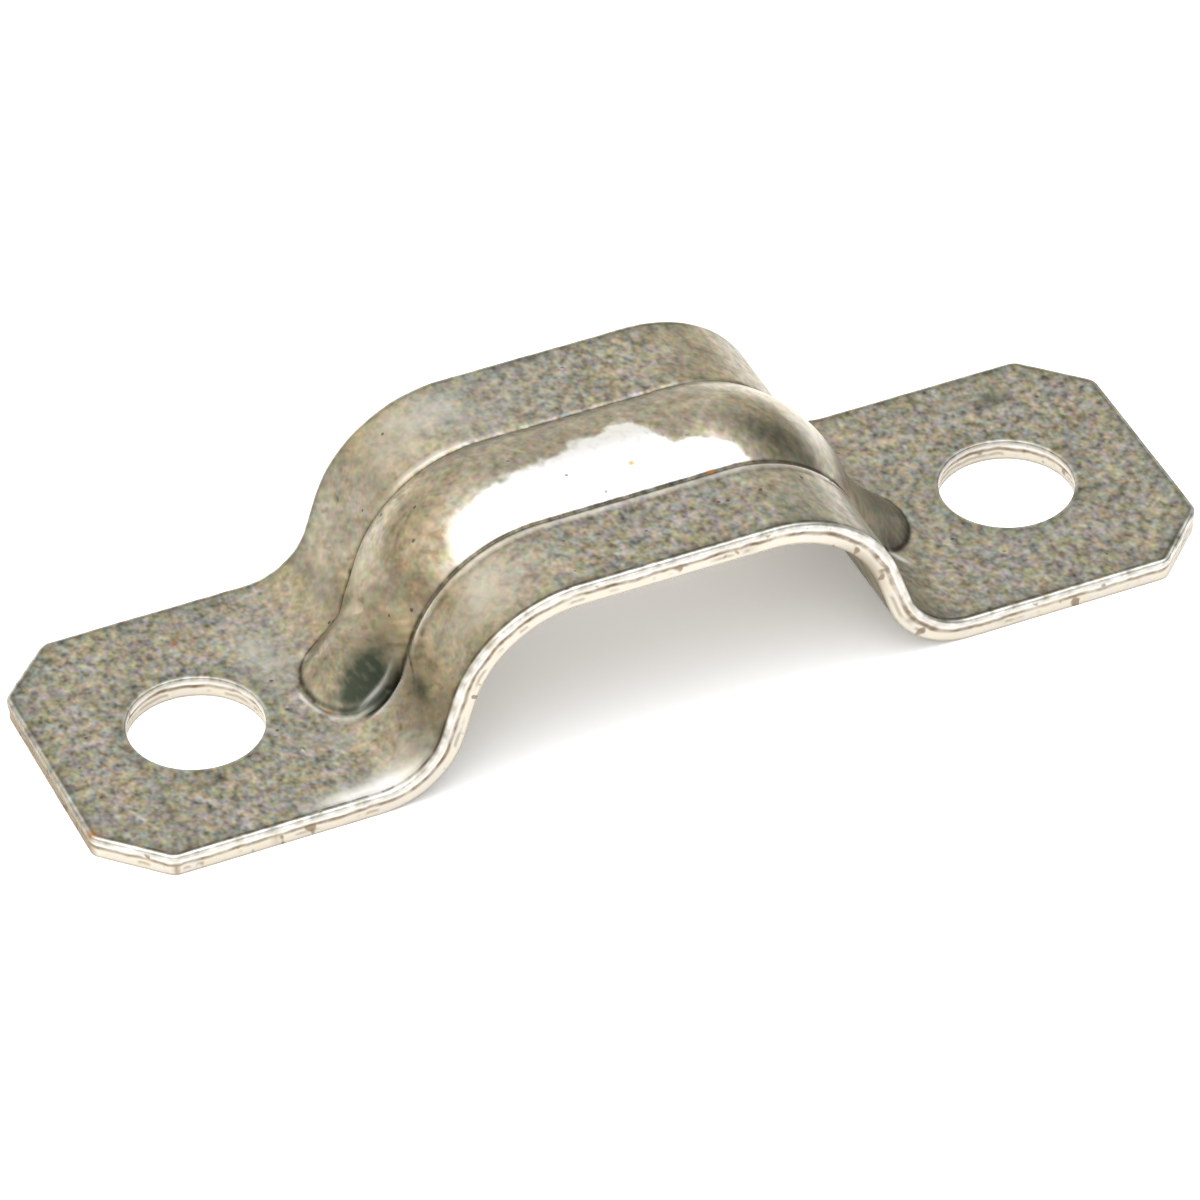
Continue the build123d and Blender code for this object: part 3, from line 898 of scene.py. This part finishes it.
    rough = calc(tree, "MULTIPLY_ADD", grain, f["roughGrain"], f["roughFlat"])
    rough = plus(rough, spread(patch, *f["roughPatch"]))
    rough = toward(rough, most(rib, times(bend, f["roughBend"])), f["roughRib"])
    rough = plus(rough, times(flank, f["roughFlank"]))
    rough = toward(rough, rubbedHighlight, f["roughRubbed"])
    rough = toward(rough, most(cutFace, times(edgeWear, f["roughWear"])), f["roughCut"])
    rough = toward(rough, times(trait("lip"), f["lipSmooth"]), f["roughLip"])
    rough = plus(rough, times(most(crease, pit), f["roughDirt"]), clamp=True)
    tree.links.new(rough, shader.inputs["Roughness"])

    # relief of the grain where the zinc isn't rubbed bright with its painted highlight, worn or painted with sheen,
    # streaks on the cut faces, pits
    plain = most(times(rubbedHighlight, f["plainRubbedHighlight"]), wearAndSheen)
    height = times(grain, grainShare, fade(plain, 1, 0))
    height = plus(height, times(streak, cutFace, f["streakRelief"]))
    height = calc(tree, "SUBTRACT", height, times(pit, f["pitRelief"]))
    bump = addNode(tree, "ShaderNodeBump", {"Height": height, "Strength": 1.0, "Distance": f["relief"] * mm})
    tree.links.new(bump.outputs[0], shader.inputs["Normal"])
    return material


strap = makeStrap()
strap.data.materials.append(makeZinc())
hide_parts("strap")
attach(strap, "root")
print("strap pressed:", len(strap.data.polygons), "faces")

studio = {
    "floorSize": 3.0,
    "floorColour": (0.9, 0.9, 0.9, 1.0),
    "floorGlow": 0.22,              # as a back-lit white table
    "floorRough": 0.9,
    "floorSpecular": 0.1,
    "cameraAzimuth": -22.819,       # degrees; 0 looks along +Y
    "cameraElevation": 39.642,
    "cameraRoll": -1.418,
    "cameraDistance": 0.405347,
    "cameraTarget": (0.000276, 0.001455, 0.0),
    "cameraClip": (0.02, 10),
    "lens": 270.81,                 # mm on a square sensor
    "sensor": 36,
    "gamma": 0.85,                  # a little more contrast, as in a catalogue print
    "fillLight": 0.14,
}


def placeCamera():
    # the camera looks along -back at the target, turned about its own axis by the roll
    a, e = math.radians(studio["cameraAzimuth"]), math.radians(studio["cameraElevation"])
    r = math.radians(studio["cameraRoll"])
    back = Vector((math.sin(a) * math.cos(e), -math.cos(a) * math.cos(e), math.sin(e)))
    right = Vector((math.cos(a), math.sin(a), 0))
    up = back.cross(right)
    tiltedRight = right * math.cos(r) + up * math.sin(r)
    tiltedUp = up * math.cos(r) - right * math.sin(r)
    data = bpy.data.cameras.new("photoCamera")
    data.lens, data.sensor_width, data.sensor_height = studio["lens"], studio["sensor"], studio["sensor"]
    data.sensor_fit = "HORIZONTAL"
    data.clip_start, data.clip_end = studio["cameraClip"]
    camera = bpy.data.objects.new("photoCamera", data)
    turned = Matrix((tiltedRight, tiltedUp, back)).transposed().to_4x4()
    camera.matrix_world = Matrix.Translation(Vector(studio["cameraTarget"]) + back * studio["cameraDistance"]) @ turned
    bpy.context.scene.collection.objects.link(camera)
    bpy.context.scene.camera = camera


def layFloor():
    # one level plane at the height of the feet's undersides
    half = studio["floorSize"] / 2
    mesh = bpy.data.meshes.new("floorMesh")
    mesh.from_pydata([(-half, -half, 0), (half, -half, 0), (half, half, 0), (-half, half, 0)], [], [(0, 1, 2, 3)])
    floor = bpy.data.objects.new("paleFloor", mesh)
    bpy.context.scene.collection.objects.link(floor)
    material = bpy.data.materials.new("paleFloor")
    material.use_nodes = True
    shader = material.node_tree.nodes["Principled BSDF"]
    shader.inputs["Base Color"].default_value = studio["floorColour"]
    shader.inputs["Emission Color"].default_value = (1, 1, 1, 1)
    shader.inputs["Emission Strength"].default_value = studio["floorGlow"]
    shader.inputs["Roughness"].default_value = studio["floorRough"]
    shader.inputs["Specular IOR Level"].default_value = studio["floorSpecular"]
    mesh.materials.append(material)


# soft light by direction: azimuth from +Y towards +X, elevation, tightness, strength, colour
softLight = [
    (270, 75, 5, 2.35, (0.99, 1.00, 1.04)),
    (90, 75, 12, 2.30, (0.99, 1.00, 1.04)),
    (23, 52, 8, 0.50, (1.00, 1.00, 1.00)),
    (300, 30, 5, 0.95, (1.08, 1.00, 0.84)),
    (30, 12, 12, 0.90, (1.01, 1.00, 0.93)),
    (350, 12, 12, 0.75, (1.05, 1.00, 0.88)),
    (80, 12, 8, 0.35, (0.97, 1.00, 0.98)),
    (180, 30, 12, 1.20, (1.00, 1.00, 1.00)),
    (210, 45, 12, 1.55, (1.00, 1.00, 1.00)),
]


def lightStudio():
    # light from a direction is a wide lobe exp(tightness (cos(angle) - 1)), and the lobes add up
    world = bpy.data.worlds.new("studioWorld")
    world.use_nodes = True
    tree = world.node_tree
    background = tree.nodes["Background"]
    look = addNode(tree, "ShaderNodeTexCoord").outputs["Generated"]
    total = addNode(tree, "ShaderNodeCombineXYZ", {i: studio["fillLight"] for i in range(3)}).outputs[0]
    for azimuth, elevation, tightness, strength, colour in softLight:
        a, e = math.radians(azimuth), math.radians(elevation)
        way = (math.sin(a) * math.cos(e), math.cos(a) * math.cos(e), math.sin(e))
        dot = addNode(tree, "ShaderNodeVectorMath", {0: look, 1: way}, operation="DOT_PRODUCT").outputs["Value"]
        lobe = calc(tree, "EXPONENT", calc(tree, "MULTIPLY_ADD", dot, tightness, -tightness))
        full = [strength * c for c in colour]
        tinted = addNode(tree, "ShaderNodeVectorMath", {0: full, "Scale": lobe}, operation="SCALE").outputs[0]
        total = addNode(tree, "ShaderNodeVectorMath", {0: total, 1: tinted}).outputs[0]
    tree.links.new(total, background.inputs["Color"])
    bpy.context.scene.world = world
    bpy.context.scene.view_settings.view_transform = "Standard"
    bpy.context.scene.view_settings.gamma = studio["gamma"]


placeCamera()
layFloor()
lightStudio()
print("studio ready")
